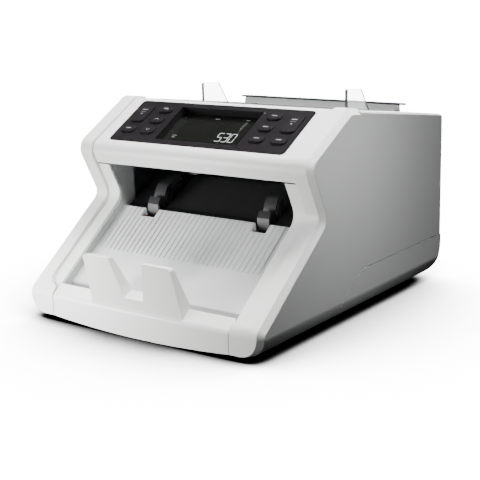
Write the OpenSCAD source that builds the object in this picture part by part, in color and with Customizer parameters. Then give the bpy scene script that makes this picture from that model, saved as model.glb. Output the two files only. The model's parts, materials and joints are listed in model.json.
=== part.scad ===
// Desktop banknote counter with a top hopper, a sloped control panel and an open front pocket.
// X runs across, Y from front to back, Z up, in millimetres. Sizes along Y start at the upright
// front face and sizes along Z at the underside of the housing; placed() then sets the origin at
// the middle of the footprint, on the surface that the feet stand on.

/* [Body] */
// Overall width over the side panels
body_w = 248; // [246:1:256]
// Depth from the front face to the back
body_d = 298; // [297:1:306]
// Height of the rubber feet
foot_h = 5; // [4:0.5:8]
// Thickness of the moulded walls
wall = 3; // [2.6:0.1:3.4]
// Gap at the seams between covers
seam_gap = 0.3; // [0.2:0.05:0.5]
// Round of the lower side edges
lower_r = 16; // [12:1:18]
// Round of the lower back edge
back_r = 30; // [20:1:34]
// Round of the upper back edge
top_back_r = 8; // [5:1:12]
// Height of the seam between base and side panels
seam_z = 36.5; // [32:0.5:40]
// Place along Y where that seam meets the underside
seam_foot_y = 98; // [90:1:104]
// Slope of the seam's front stretch
seam_slope = 36.5; // [32:0.5:42]

/* [Side profile] */
// Height of the crease on the front face
front_h = 18; // [16:0.5:20]
// Slope of the pocket sides
ramp_angle = 37.5; // [36:0.5:38.5]
// Place of the waist along Y
waist_y = 92.4; // [90:0.2:94]
// Forward lean of the side frames above the waist
lean_angle = 26.5; // [25:0.5:28]
// Height of the console's nose
nose_z = 136; // [134:0.5:138]
// Slope of the console
console_angle = 29.5; // [28.5:0.5:30.5]
// Place of the highest edge along Y
apex_y = 132.4; // [131:0.2:134]
// Fall of the top towards the back
top_fall = 7.4; // [7:0.1:7.8]
// Back end of the console along Y
console_end_y = 147; // [146:0.5:149]
// Height of the lip over the pocket
lip_z = 120.5; // [119.5:0.5:122]
// Gap under the lip beside the pocket
lip_gap = 1.4; // [0.4:0.1:2]

/* [Side frames] */
// Width of the recessed strip beside the pocket
strip_w = 13; // [11:0.5:14]
// Rise of the border above strip and console
border_h = 2; // [1:0.25:2.5]
// Depth of the recessed strip under the console's face
strip_drop = 0.8; // [0:0.1:1.2]
// Width of the bevel at the outer edge
bevel_w = 4; // [3:0.5:5]
// Depth of the bevel
bevel_h = 5; // [4:0.5:6]
// Thickness of the side panels
panel_t = 2.7; // [2.2:0.1:3]

/* [Pocket] */
// Clear width of the pocket
pocket_w = 188; // [186:1:190]
// Top edge of the front panel along Y
front_top_y = 10.5; // [9:0.5:12]
// Height of the gutter floor behind the front panel
gutter_z = 12; // [9:0.5:13]
// Place of the ramp's lower edge along Y
ramp_foot_y = 24; // [20:1:30]
// Depth of the ramp under the slope of the side frames
ramp_drop = 12; // [11:0.5:14]
// Upper end of the ramp along Y
ramp_top_y = 97; // [95:0.5:98]
// Thickness of the ramp
ramp_t = 2.5; // [2:0.25:3]
// Distance between the ribs on the ramp
rib_pitch = 5.2; // [4:0.1:6]
// Height of the ribs
rib_h = 0.8; // [0.5:0.05:1.2]
// Length of the ribs down from the ramp's upper end
rib_run = 50; // [40:1:60]
// Share of the feet's height by which the front panel's lower edge hangs down in the middle
bow_share = 0.88; // [0.4:0.02:0.9]
// Height of the two teeth
tooth_top = 62.8; // [55:0.2:68]
// How far the teeth lean out in front
tooth_reach = 9.4; // [6:0.1:11]
// Thickness of a tooth at its top
tooth_tip_t = 5.1; // [3.5:0.1:6]
// How far the teeth stand back over the gutter
tooth_back = 3; // [0:0.5:5]
// Half of the width over both teeth at the foot
tooth_out_foot = 48.5; // [44:0.5:54]
// Half of the width over both teeth at the top
tooth_out_top = 46; // [42:0.5:50]
// Half of the gap between the teeth at its floor
tooth_gap_foot = 10; // [7:0.5:12]
// Half of the gap between the teeth at the top
tooth_gap_top = 17; // [13:0.2:20]
// Height of the floor between the teeth
tooth_web_z = 31; // [29:0.5:36]
// Thickness of the pocket's side walls
pocket_wall_t = 2.4; // [2:0.1:2.6]

/* [Control panel] */
// Width of the control panel
panel_w = 187; // [185:1:196]
// Length of the control panel up the slope
panel_h = 58.8; // [58:0.2:60]
// Distance from the nose to the panel's lower edge
panel_lift = 11.1; // [10.5:0.1:11.6]
// Corner round of the control panel
panel_r = 4; // [2:0.5:6]
// Thickness of the control panel
bezel_t = 3; // [2.4:0.1:3.4]
// Width of the display recess
display_w = 88; // [84:1:90]
// Length of the display recess up the slope
display_h = 46; // [42:1:47]
// Distance from the panel's lower edge to the display recess
display_lift = 6.5; // [5.5:0.5:8]
// Depth of the display recess
display_depth = 6.5; // [5.5:0.25:7.5]
// Thickness of the display window
window_t = 1.8; // [1.4:0.1:2.2]
// Width of a key
key_w = 14; // [12:0.5:15]
// Length of a small key up the slope
key_h = 9; // [8:0.5:10]
// Corner round of the keys
key_r = 3.8; // [2:0.2:4]
// Distance between key rows
key_pitch = 15.3; // [14.5:0.1:16]
// Distance from the panel's lower edge to the first key row
key_lift = 16; // [15:0.5:17]
// Gap between the display recess and the inner keys
key_inset = 7.4; // [6:0.2:8]
// Gap between the two key columns
key_between = 8; // [7:0.2:9]
// Gap between the outer keys and the panel's ends
key_margin = 6.1; // [5:0.1:7]
// Rise of the keys above the panel
key_rise = 2; // [1.4:0.1:2.6]
// Travel of the keys
key_travel = 1.2; // [0.8:0.1:1.6]
// Gap round the keys
key_gap = 0.4; // [0.3:0.05:0.6]

/* [Hopper] */
// Tilt of the hopper plate
hopper_tilt = 43.3; // [42.6:0.1:44]
// Place along Y of the support lip's front edge
support_y = 276; // [274.5:0.5:277]
// Height of the support lip's front edge
support_z = 159.2; // [158.2:0.5:160.7]
// Upper end of the hopper's front wall along Y
hopper_lip_y = 153; // [152:0.5:155]
// Lower end of the hopper's front wall along Y
hopper_foot_y = 222; // [221:0.5:223]
// Height of the front wall's lower end
hopper_foot_z = 120.5; // [119.5:0.5:121.5]
// Thickness of the clear guides
guide_t = 3; // [2.5:0.25:4]
// Distance of the guides from the middle, set wide
guide_x = 79.5; // [78:0.5:82]
// Front edge of the guides along Y
guide_front_y = 198.5; // [197:0.5:200]
// Height of the guides
guide_top_z = 180.7; // [176:0.5:186]
// Length of the guides' top edge
guide_top_d = 24; // [20:1:28]
// Sideways travel of each guide
guide_travel = 25; // [15:1:26]
// Radius of the guide rail
rail_r = 3; // [2.5:0.25:3.5]
// Place of the guide rail along Y
rail_y = 188; // [186:0.5:189]
// Height of the guide rail
rail_z = 129; // [128:0.5:130]

/* [Transport] */
// Height of the note path
path_z = 104; // [103.5:0.25:104.5]
// Half of the gap between the note guides
path_gap = 1.7; // [1.4:0.1:1.9]
// Thickness of the note guides
note_guide_t = 2; // [1.6:0.1:2.2]
// Radius of the shafts
shaft_r = 4; // [3.5:0.25:4.5]
// Radius of the small axles
axle_r = 3; // [2.5:0.25:3.25]
// Running clearance of shafts in their bearings
run_gap = 0.05; // [0.02:0.01:0.09]
// Radius of the transport rollers
roller_r = 11; // [10:0.25:11.25]
// Radius of the pinch rollers
pinch_r = 8; // [7:0.25:8.5]
// Width of every roller
roller_w = 14; // [10:1:15]
// Distance of the transport rollers from the middle
roller_x = 32; // [30:1:38]
// Place of the rear transport roller along Y
rear_roll_y = 200; // [199:0.5:201]
// Place of the front transport roller along Y
front_roll_y = 162; // [161:0.5:163]
// Radius of the feed rollers
feed_r = 16; // [14.5:0.25:16.5]
// Radius of the pickup rollers
pickup_r = 12; // [11:0.25:13]
// Radius of the retard roller
retard_r = 12; // [11:0.25:12.25]
// How far the feed rollers stand out of the hopper plate
roller_proud = 1; // [0.6:0.1:1.4]
// Place of the feed nip along Y
nip_y = 232; // [231.5:0.25:232.5]
// Place of the pickup rollers along Y
pickup_y = 256; // [255:0.5:258]
// Rolling gap between facing rollers
nip_gap = 0.4; // [0.3:0.05:0.6]
// Distance of the feed rollers from the middle
feed_x = 12; // [10:0.5:12.5]
// Distance of the pickup rollers from the middle
pickup_x = 36; // [30:1:60]

/* [Stacker] */
// Place of the stacker shaft along Y
stacker_y = 128; // [127:0.5:128.5]
// Height of the stacker shaft
stacker_z = 68; // [67.5:0.25:68.5]
// Radius of the finger wheels
wheel_r = 35; // [32:0.5:35.5]
// Width of the finger wheels
wheel_w = 12; // [8:1:14]
// Distance of the finger wheels from the middle
wheel_x = 60; // [58:1:72]
// Radius of the wheel hubs
hub_r = 14; // [11:0.5:15]
// Number of fingers on a wheel
fingers = 10; // [6:1:12]
// Thickness of a finger
finger_t = 1.8; // [1.4:0.1:2.4]
// Bend radius of a finger
finger_bend = 22; // [21:0.5:24]

/* [Chassis and drive] */
// Distance from the housing's side to the inner face of a chassis plate
drive_room = 27; // [25:0.2:27.2]
// Thickness of the chassis plates
plate_t = 2; // [1.5:0.25:2.5]
// Outer radius of the bearings
bearing_r = 7; // [6:0.25:7.5]
// Width of a belt
belt_w = 4; // [3:0.5:4.5]
// Thickness of a belt
belt_t = 1.5; // [1:0.1:1.8]
// Gap between belt and pulley
belt_gap = 0.3; // [0.2:0.05:0.4]
// Radius of the motor
motor_r = 18; // [15:0.5:20]
// Length of the motor
motor_l = 46; // [36:1:56]
// Place of the motor along Y
motor_y = 235; // [232:0.5:238]
// Height of the motor
motor_z = 56; // [52:0.5:58]
// Radius of the encoder disc
encoder_r = 16; // [12:0.5:18]
// Number of slots in the encoder disc
encoder_slots = 24; // [12:2:36]

/* [Back and feet] */
// Width of the mains inlet module
inlet_w = 30; // [28:1:34]
// Height of the mains inlet module
inlet_h = 47; // [46:1:50]
// Depth of the mains inlet module
inlet_d = 24; // [22:1:28]
// Distance of the mains inlet module from the middle
inlet_x = 70; // [40:1:76]
// Height of the module's lower edge
inlet_z = 44; // [42:1:54]
// Width of the rocker
rocker_w = 12; // [10:0.5:14]
// Height of the rocker
rocker_h = 15; // [13:0.5:16]
// Radius of the feet
foot_r = 9; // [7:0.5:11]
// Distance of the feet from the middle
foot_x = 92; // [80:1:96]
// Distance of the feet from the front and the back
foot_inset_y = 40; // [40:1:50]
// Radius of the screw heads
screw_r = 3.4; // [2.8:0.1:4]
// Radius of the thickness knob
knob_r = 9; // [7:0.5:10]

/* [Hidden] */

$fn = 64;
// steps of each rounded corner in an outline
corner_steps = 8;
// reach of cuts past the faces that they open
past = 1;

white = "#e9e9e6";
grey = "#8f9090";
dark = "#3d3b3d";
black = "#1c1c1e";
steel = "#b9bcc0";
rubber = "#2a2a2c";
board_green = "#2f6b45";

body_half = body_w / 2;
pocket_half = pocket_w / 2;
step_half = pocket_half + strip_w;
mid_y = (body_d - tooth_reach) / 2;
panel_in = body_half - panel_t;
cover_half = panel_in - seam_gap;

// Paths and outlines in a side view, as [y, z] points

function unit(v) = v / norm(v);
function left_of(v) = [-v.y, v.x];
function heading(path, i) = unit(path[i + 1] - path[i]);
function turn(a, b) = atan2(a.x * b.y - a.y * b.x, a * b);
function backwards(list) = [for (i = [len(list) - 1:-1:0]) list[i]];

// a path moved sideways by d, to the left of its heading
function shifted(path, d) = [
    for (i = [0:len(path) - 1])
        let (a = heading(path, max(i - 1, 0)), b = heading(path, min(i, len(path) - 2)))
            path[i] + left_of(a + b) * d / (1 + a * b)];

// one corner turned on a radius
function corner(p, a, b, r) =
    let (t = turn(a, b), way = sign(t), start = p - a * r * tan(abs(t) / 2),
        middle = start + left_of(a) * r * way)
        [for (k = [0:corner_steps])
            let (s = t * k / corner_steps, arm = start - middle)
                middle + [arm.x * cos(s) - arm.y * sin(s), arm.x * sin(s) + arm.y * cos(s)]];

// a path with its corners turned on radii, lying inset to the right of the path given
function outline(path, radii, inset = 0) =
    let (line = shifted(path, -inset), last = len(path) - 1)
        [for (i = [0:last])
            let (a = heading(line, max(i - 1, 0)), b = heading(line, min(i, last - 1)),
                r = radii[i] > 0 ? radii[i] + inset * sign(turn(a, b)) : 0)
                each r > 0 ? corner(line[i], a, b, r) : [line[i]]];

// a strip of thickness t to the right of a path
module ribbon(path, radii, t) polygon(concat(outline(path, radii), backwards(outline(path, radii, t))));

// Driving points of the side profile

waist = [waist_y, front_h + waist_y * tan(ramp_angle)];
nose = [waist.x - (nose_z - waist.y) * tan(lean_angle), nose_z];
apex = [apex_y, nose.y + (apex_y - nose.x) * tan(console_angle)];
function top_at(y) = apex.y - (y - apex_y) * tan(top_fall);
function lean_at(z) = waist.x - (z - waist.y) * tan(lean_angle);
function ramp_at(y) = front_h + y * tan(ramp_angle) - ramp_drop;
console_end = [console_end_y, top_at(console_end_y)];
lip = [lean_at(lip_z), lip_z];
// depth of the console's turned-in lip
lip_d = 11;

crease_r = 11;
waist_r = 8;
nose_r = 12;
apex_r = 12;
profile = [[0, 0], [0, front_h], waist, nose, apex, console_end];
raised = shifted(profile, border_h);
crease = [0, front_h + border_h / cos(ramp_angle)];
ramp_way = [cos(ramp_angle), sin(ramp_angle)];
// the strip's lower end is a quarter round that starts above the crease
strip_foot = crease + ramp_way * 7;
border = [[0, 0], crease, raised[2], raised[3], raised[4], raised[5]];
border_radii = [0, crease_r, waist_r, nose_r, apex_r, 0];
border_wall = border_h + 2;

// Hopper plane and note path

function hopper_at(y) = support_z - (support_y - y) * tan(hopper_tilt);
hopper_way = [cos(hopper_tilt), sin(hopper_tilt)];
hopper_under = [sin(hopper_tilt), -cos(hopper_tilt)];
mouth_y = (top_at(0) - hopper_at(0)) / (tan(hopper_tilt) + tan(top_fall));
function front_wall_at(y) =
    console_end.y + (hopper_foot_z - console_end.y) * (y - hopper_lip_y) / (hopper_foot_y - hopper_lip_y);
chassis_in = body_half - drive_room;
chassis_out = chassis_in + plate_t;
hopper_half = chassis_in - seam_gap;
// the bearings' flanges stand out of the chassis plates by this much
bush_flange = 2;
bush_fit = 0.02;
small_bearing_r = bearing_r - 2;
collar_r = 8;
plate_gap = 5.5;
flange_w = 12;
note_half = min(pocket_half, chassis_in - bush_flange - past) - seam_gap;

function on_plane(y, depth) = [y, hopper_at(y)] + hopper_under * depth;
feed_c = on_plane(nip_y, feed_r - roller_proud);
retard_c = on_plane(nip_y, -roller_proud - nip_gap - retard_r);
pickup_c = on_plane(pickup_y, pickup_r - roller_proud);
rear_c = [rear_roll_y, path_z - roller_r];
front_c = [front_roll_y, path_z - roller_r];
rear_pinch_c = [rear_roll_y, path_z + nip_gap + pinch_r];
front_pinch_c = [front_roll_y, path_z + nip_gap + pinch_r];
stacker_c = [stacker_y, stacker_z];
motor_c = [motor_y, motor_z];
driven = [stacker_c, front_c, rear_c, feed_c, pickup_c];
pinched = [rear_pinch_c, front_pinch_c];

// three belt planes outside the left chassis plate
lane_step = belt_w + 2;
function lane(i) = -chassis_out - 2 - belt_w - i * lane_step;
shaft_left = lane(2) - 1;
shaft_right = chassis_out + 4;
motor_pulley_r = 7;
rear_big_r = 12;
link_r = 9;
stacker_small_r = 8;
stacker_big_r = 14;
feed_big_r = 12;
pickup_link_r = 10;

// Panel positions: x across, s up the slope, depth along the outward normal

panel_foot = nose + panel_lift * [cos(console_angle), sin(console_angle)];
panel_inset = 2;
display_s = display_lift + display_h / 2;
window_rim = 2;
window_w = display_w + 2 * window_rim;
window_h = display_h + 2 * window_rim;
glass_t = 4;
bezel_proud = 0.3;
key_flange = 1;
key_flange_t = 1;
key_hang = 0.25;
key_stem = bezel_t + key_hang + key_flange_t + 1.5;
key_board_depth = key_stem + key_travel + 0.6;
board_t = 1.6;
key_field = panel_w / 2 - display_w / 2;
// the gaps beside and between the two columns keep their shares of what the keys leave
key_spare = (key_field - 2 * key_w) / (key_inset + key_margin + key_between);
key_in_x = display_w / 2 + key_inset * key_spare + key_w / 2;
key_out_x = panel_w / 2 - key_margin * key_spare - key_w / 2;
// each key: name, x, middle along s, length along s
KEYS = [
    ["key_left_tall", -key_out_x, key_lift + 1.5 * key_pitch, key_h + key_pitch],
    ["key_left_low", -key_out_x, key_lift, key_h],
    ["key_left_top", -key_in_x, key_lift + 2 * key_pitch, key_h],
    ["key_left_up", -key_in_x, key_lift + key_pitch, key_h],
    ["key_left_down", -key_in_x, key_lift, key_h],
    ["key_right_top", key_in_x, key_lift + 2 * key_pitch, key_h],
    ["key_right_middle", key_in_x, key_lift + key_pitch, key_h],
    ["key_right_bottom", key_in_x, key_lift, key_h],
    ["key_right_tall", key_out_x, key_lift + 1.5 * key_pitch, key_h + key_pitch],
    ["key_right_low", key_out_x, key_lift, key_h]];

// Placing and extruding

module placed() translate([0, -mid_y, foot_h]) children();
module mirrored(side) mirror([side < 0 ? 1 : 0, 0, 0]) children();
module both() { children(); mirror([1, 0, 0]) children(); }

// a side view outline carried from x0 to x1
module across(x0, x1) translate([x0, 0, 0]) rotate([90, 0, 90]) linear_extrude(x1 - x0) children();

// a front view outline carried from y0 to y1
module along(y0, y1) translate([0, y1, 0]) rotate([90, 0, 0]) linear_extrude(y1 - y0) children();

// a round bar along X at the side view point c
module bar(c, r, x0, x1) translate([x0, c.x, c.y]) rotate([0, 90, 0]) cylinder(r = r, h = x1 - x0);

module block(x0, x1, y0, y1, z0, z1) translate([x0, y0, z0]) cube([x1 - x0, y1 - y0, z1 - z0]);

module on_panel() translate([0, panel_foot.x, panel_foot.y]) rotate([console_angle, 0, 0]) children();

// a box whose lower side lies on the hopper's front wall, with z along the wall's normal
front_wall_tilt = atan2(console_end.y - hopper_foot_z, hopper_foot_y - hopper_lip_y);
module on_front_wall(y)
    translate([0, y, front_wall_at(y)]) rotate([-front_wall_tilt, 0, 0]) children();

module on_hopper(y) translate([0, y, hopper_at(y)]) rotate([hopper_tilt, 0, 0]) children();

module rounded_box(w, h, r) {
    square([w - 2 * r, h], center = true);
    square([w, h - 2 * r], center = true);
    for (i = [-1, 1], j = [-1, 1])
        translate([i * (w / 2 - r), j * (h / 2 - r)]) circle(r);
}

module slab(w, h, r, z0, z1) translate([0, 0, z0]) linear_extrude(z1 - z0) rounded_box(w, h, r);

// the housing's cross section with its rounded lower edges, drawn in by i
module section(i) {
    translate([i - body_half, lower_r]) square([body_w - 2 * i, body_d]);
    translate([lower_r - body_half, i]) square([body_w - 2 * lower_r, lower_r]);
    for (s = [-1, 1])
        translate([s * (body_half - lower_r), lower_r]) circle(lower_r - i);
}

module envelope(i) along(-2 * wall, body_d + 2 * wall) section(i);

// Housing

// the base's side view under its seam
seam_top_y = seam_foot_y + seam_z / tan(seam_slope);
seam_r = 20;
module base_tray() color(grey) placed() {
    floor_half = body_half - lower_r - 2 - seam_gap;
    difference() {
        intersection() {
            across(-body_half, body_half)
                polygon(outline(
                    [[seam_foot_y, 0], [seam_top_y, seam_z], [body_d, seam_z], [body_d, 0],
                        [seam_foot_y, 0]],
                    [0, seam_r, 0, back_r, 0]));
            envelope(0);
        }
        intersection() {
            across(-body_half, body_half)
                polygon(outline(
                    [[0, seam_z + past], [body_d - wall, seam_z + past], [body_d - wall, wall], [0, wall]],
                    [0, 0, back_r - wall, 0]));
            envelope(wall);
        }
        screw_places() screw_hole();
    }
    block(-floor_half, floor_half, bevel_h + seam_gap, seam_foot_y + wall, 0, wall);
}

// what the chamfers along the upper and the back edges take off
module edge_cuts(chamfer) {
    wedge = [[-chamfer, past], [past, past], [past, -chamfer]];
    translate([body_half, apex_y, apex.y]) rotate([-top_fall, 0, 0]) along(0, body_d) polygon(wedge);
    translate([body_half, body_d, -past]) linear_extrude(body_d) polygon(wedge);
}

// side panels: moulded shells that wrap round the lower edge
module side_panel(side) color(grey) placed() mirrored(side) {
    edge = outline(border, border_radii, bevel_h + seam_gap);
    lift = seam_gap / cos(seam_slope);
    intersection() {
        across(body_half - lower_r - 2, body_half)
            polygon(concat(
                [for (p = edge) if (p.x < console_end_y + seam_gap) p],
                [[console_end_y + seam_gap, edge[len(edge) - 1].y]],
                outline(
                    [[console_end_y + seam_gap, top_at(console_end_y)], [body_d, top_at(body_d)],
                        [body_d, seam_z + seam_gap], [seam_top_y, seam_z + seam_gap],
                        [seam_foot_y - lift, 0]],
                    [0, top_back_r, 0, seam_r, 0])));
        difference() {
            envelope(0);
            envelope(panel_t);
            edge_cuts(panel_t - 0.2);
        }
    }
}

// side frames: a border with its bevel swept along the profile, and the recessed strip
module side_frame(side) color(white) placed() mirrored(side) {
    strip_start = strip_foot - border_h * left_of(ramp_way) - 0.5 * ramp_way;
    border_sweep();
    across(pocket_half + seam_gap / 2, step_half + 2) intersection() {
        ribbon(
            shifted([strip_start, waist, nose], -strip_drop),
            [0, waist_r + 2 * border_h, 0], wall);
        square([body_d, lip_z - lip_gap]);
    }
}

// inner edge of the border: at the front panel below, at the strip's step above
function border_in(p) =
    let (d = (p - strip_foot) * ramp_way / strip_w, k = 1 - min(max(d, 0), 1))
        pocket_half + seam_gap + (strip_w - seam_gap) * sqrt(1 - k * k);

// outer edge of the border: it follows the housing's rounded lower edge
function border_out(z) =
    body_half - lower_r + sqrt(pow(lower_r, 2) - pow(lower_r - min(z, lower_r), 2));

module border_sweep() {
    low = [for (a = [0:15:75]) [0, lower_r * (1 - cos(a))]];
    foot = [for (k = [0:6]) strip_foot + ramp_way * strip_w * k / 6];
    path = concat(low, [crease], foot, [raised[2], raised[3], raised[4], raised[5]]);
    radii = concat([for (p = low) 0], [crease_r], [for (p = foot) 0], [waist_r, nose_r, apex_r, 0]);
    skin = outline(path, radii);
    mid = outline(path, radii, border_wall);
    deep = outline(path, radii, bevel_h);
    points = [
        for (i = [0:len(skin) - 1])
            let (out = border_out(skin[i].y))
                each [
                    [border_in(skin[i]), skin[i].x, skin[i].y],
                    [out - bevel_w, skin[i].x, skin[i].y],
                    [out, deep[i].x, deep[i].y],
                    [out - bevel_w - 2, deep[i].x, deep[i].y],
                    [out - bevel_w - 2, mid[i].x, mid[i].y],
                    [border_in(skin[i]), mid[i].x, mid[i].y]]];
    n = 6;
    last = n * (len(skin) - 1);
    polyhedron(points, concat(
        [[for (k = [0:n - 1]) k]],
        [[for (k = [n - 1:-1:0]) last + k]],
        [for (i = [0:n:last - n], k = [0:n - 1])
            let (a = i + k, b = i + (k + 1) % n)
                each [[a, a + n, b + n], [a, b + n, b]]]));
}

module console_cover() color(white) placed() {
    half = step_half - seam_gap;
    difference() {
        across(-half, half)
            ribbon(
                [lip + [lip_d, 0], lip, nose, apex, console_end, console_end - [0, 12]],
                [0, 1, nose_r - border_h, apex_r - border_h, 0, 0], wall);
        on_panel() translate([0, panel_h / 2, 0])
            slab(panel_w, panel_h, panel_r, -2 * wall, past);
    }
    // ledge that the control panel lies on
    on_panel() translate([0, panel_h / 2, 0]) difference() {
        slab(panel_w + 6, panel_h + 4, panel_r, -bezel_t - 2, -1);
        slab(panel_w, panel_h, panel_r, -bezel_t, past);
        slab(panel_w - 2 * panel_inset, panel_h - 2 * panel_inset, panel_r - 1, -4 * wall, past);
    }
}

// front panel of the pocket with its two teeth
module pocket_front() color(white) placed() {
    top_z = front_h + front_top_y * tan(ramp_angle);
    web_rise = 20;
    front_t = wall - 0.2;
    // the cut between the teeth goes on to twice their height
    gap_h = 2 * (tooth_top - tooth_web_z);
    across(-pocket_half, pocket_half)
        ribbon(
            [[0, 0], [0, front_h], [front_top_y, top_z], [front_top_y, wall]],
            [0, crease_r / 2, 0, 0], front_t);
    // the lower edge hangs in a shallow arc between the side frames
    bow = bow_share * foot_h;
    bow_r = (pow(pocket_half, 2) + pow(bow, 2)) / (2 * bow);
    along(0, front_t) intersection() {
        translate([0, bow_r - bow]) circle(bow_r, $fn = 720);
        translate([-pocket_half, -bow]) square([2 * pocket_half, bow + wall]);
    }
    difference() {
        intersection() {
            across(-tooth_out_foot, tooth_out_foot)
                polygon([
                    [1.8, front_h + 1], [-tooth_reach, tooth_top], [tooth_tip_t - tooth_reach, tooth_top],
                    [front_top_y + tooth_back, top_z], [front_top_y - 1, front_h + 2]]);
            along(-2 * tooth_reach, 2 * front_top_y)
                polygon(outline(
                    [[0, 0], [-tooth_out_foot, 0], [-tooth_out_foot, front_h], [-tooth_out_top, tooth_top],
                        [tooth_out_top, tooth_top], [tooth_out_foot, front_h], [tooth_out_foot, 0], [0, 0]],
                    [0, 0, 0, 3, 3, 0, 0, 0]));
        }
        translate([0, front_top_y / 2, tooth_web_z]) rotate([web_rise, 0, 0])
            along(-4 * front_top_y, 4 * front_top_y)
                polygon(outline(
                    [[0, gap_h], [-2 * tooth_gap_top + tooth_gap_foot, gap_h],
                        [-tooth_gap_foot, 0], [tooth_gap_foot, 0],
                        [2 * tooth_gap_top - tooth_gap_foot, gap_h], [0, gap_h]],
                    [0, 0, 2, 2, 0, 0]));
    }
}

// pocket ramp with its gutter and the notches for the finger wheels
ramp_skirt = 8;
notch_d = 9;
rib_inset = 2;
module pocket_ramp() color("#d7d8d5") placed() {
    half = pocket_half - seam_gap / 2;
    notch = wheel_w / 2 + 2;
    difference() {
        across(-half, half)
            ribbon(
                [[front_top_y + seam_gap, gutter_z], [ramp_foot_y, gutter_z],
                    [ramp_foot_y, ramp_at(ramp_foot_y)], [ramp_top_y, ramp_at(ramp_top_y)],
                    [ramp_top_y + 1, ramp_at(ramp_top_y) - ramp_skirt]],
                [0, 2, 1.2, 1.5, 0], ramp_t);
        both() block(wheel_x - notch, wheel_x + notch, ramp_top_y - notch_d, body_d, 0, nose_z);
    }
    ramp_ribs(notch);
}

// ribs on the upper part of the ramp, shorter below the finger wheels
module ramp_ribs(notch) {
    foot_y = ramp_top_y - rib_inset - rib_run * cos(ramp_angle);
    count = floor((pocket_half - 2 * rib_inset) / rib_pitch);
    for (i = [-count:count]) {
        short = abs(abs(i * rib_pitch) - wheel_x) < notch + rib_pitch / 2;
        end_y = ramp_top_y - rib_inset - (short ? notch_d : 0);
        translate([i * rib_pitch, foot_y, ramp_at(foot_y)]) rotate([ramp_angle, 0, 0])
            block(-rib_pitch / 6, rib_pitch / 6, 0, (end_y - foot_y) / cos(ramp_angle), -rib_h, rib_h);
    }
}

module pocket_wall(side) color("#8b8d8a") placed() mirrored(side) {
    rear_y = stacker_y - stacker_big_r - belt_gap - belt_t - past;
    edge = outline(
        [[0, wall], [0, front_h], waist, lip], [0, crease_r, waist_r + border_h, 0],
        border_wall + seam_gap);
    across(pocket_half, pocket_half + pocket_wall_t) intersection() {
        polygon(concat(edge, [[rear_y, lip_z + wall], [rear_y, wall]]));
        square([rear_y, lip_z - lip_gap]);
    }
}

// rear cover: top rims beside the hopper and the back wall with its vents
vent_w = 30;
vent_h = 3;
vent_rows = 6;
module rear_cover() color(white) placed() {
    start_y = console_end_y + seam_gap + wall * sin(top_fall);
    difference() {
        across(-cover_half, cover_half)
            ribbon(
                [[start_y, top_at(start_y)], [body_d, top_at(body_d)], [body_d, seam_z + seam_gap]],
                [0, top_back_r, 0], wall);
        block(-hopper_half - seam_gap, hopper_half + seam_gap, 0, mouth_y + wall, 0, 2 * body_d);
        inlet_place() block(-inlet_w / 2 - 0.1, inlet_w / 2 + 0.1, -inlet_d, past, -0.1, inlet_h + 0.1);
        rear_screw_places() rotate([90, 0, 0]) screw_hole();
        for (i = [0:vent_rows - 1])
            translate([-inlet_x, body_d, inlet_z + 4 + i * 2.4 * vent_h])
                block(-vent_w / 2, vent_w / 2, -2 * wall, past, 0, vent_h);
    }
}

module inlet_place() translate([inlet_x, body_d, inlet_z]) children();

// hole for a screw with its counterbore, from the outer face on
head_t = 1;
head_sink = 0.2;
module screw_hole() translate([0, 0, -past]) {
    cylinder(r = screw_r / 2 + 2 * run_gap, h = wall + 2 * past);
    cylinder(r = screw_r + 2 * run_gap, h = past + head_sink + head_t);
}

module rear_screw_places()
    both() for (z = [seam_z + 12, top_at(body_d) - 26])
        translate([cover_half - 14, body_d, z]) children();

module screw_places()
    both() for (y = [body_d - foot_inset_y - 2.5 * foot_r, seam_top_y + 14])
        translate([chassis_in - 7, y, 0]) children();

// Hopper

module hopper_front() color(dark) placed() {
    slot_in = guide_x - guide_travel - guide_t;
    slot_out = guide_x + guide_t;
    difference() {
        across(-hopper_half, hopper_half)
            ribbon(
                [[console_end_y + seam_gap, console_end.y], [hopper_lip_y, console_end.y],
                    [hopper_foot_y, hopper_foot_z]],
                [0, 5, 0], wall);
        // slots that the guides' lugs slide in
        both() on_front_wall(guide_front_y) block(slot_in, slot_out, 0.4, 7.6, -2 * wall, wall);
        // opening for the retard roller
        block(-retard_half - 2, retard_half + 2, retard_c.x - retard_r - 3.2, body_d, 0, 2 * nose_z);
        // hole for the thickness knob's stem
        on_front_wall(knob_y) cylinder(r = axle_r + run_gap, h = 4 * wall, center = true);
    }
}

module hopper_plate() color(dark) placed() {
    slot = roller_w / 2 + 1.2;
    low_y = nip_y + 1;
    difference() {
        across(-hopper_half, hopper_half)
            ribbon([[low_y, hopper_at(low_y)], [mouth_y, hopper_at(mouth_y)]], [0, 0], ramp_t);
        both() on_hopper(pickup_y)
            block(pickup_x - slot, pickup_x + slot, -pickup_r, pickup_r, -wall, wall);
        both() on_hopper(nip_y) block(feed_x - slot, feed_x + slot, -feed_r, feed_r - 4, -wall, wall);
    }
}

// note support: sloped plate above the hopper plate, with cheeks at both ends
support_half = pocket_half - 8;
dark_lip_half = support_half + 5;
support_fall = [9, -1];
support_t = 2;
module note_support() color(grey) placed() {
    foot = [mouth_y + wall + 1, top_at(mouth_y + wall + 1)];
    head = [support_y, support_z];
    tail = head + support_fall;
    back = [tail.x + 1, top_at(tail.x + 1)];
    across(-support_half, support_half) intersection() {
        polygon([foot, head, tail, back]);
        ribbon([foot - hopper_way, head, tail], [0, 0, 0], support_t);
    }
    // end cheeks and ribs under the plate
    for (x = [-support_half, -support_half / 3, support_half / 3 - support_t, support_half - support_t])
        across(x, x + support_t) polygon([foot, head, tail, back]);
}

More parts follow.
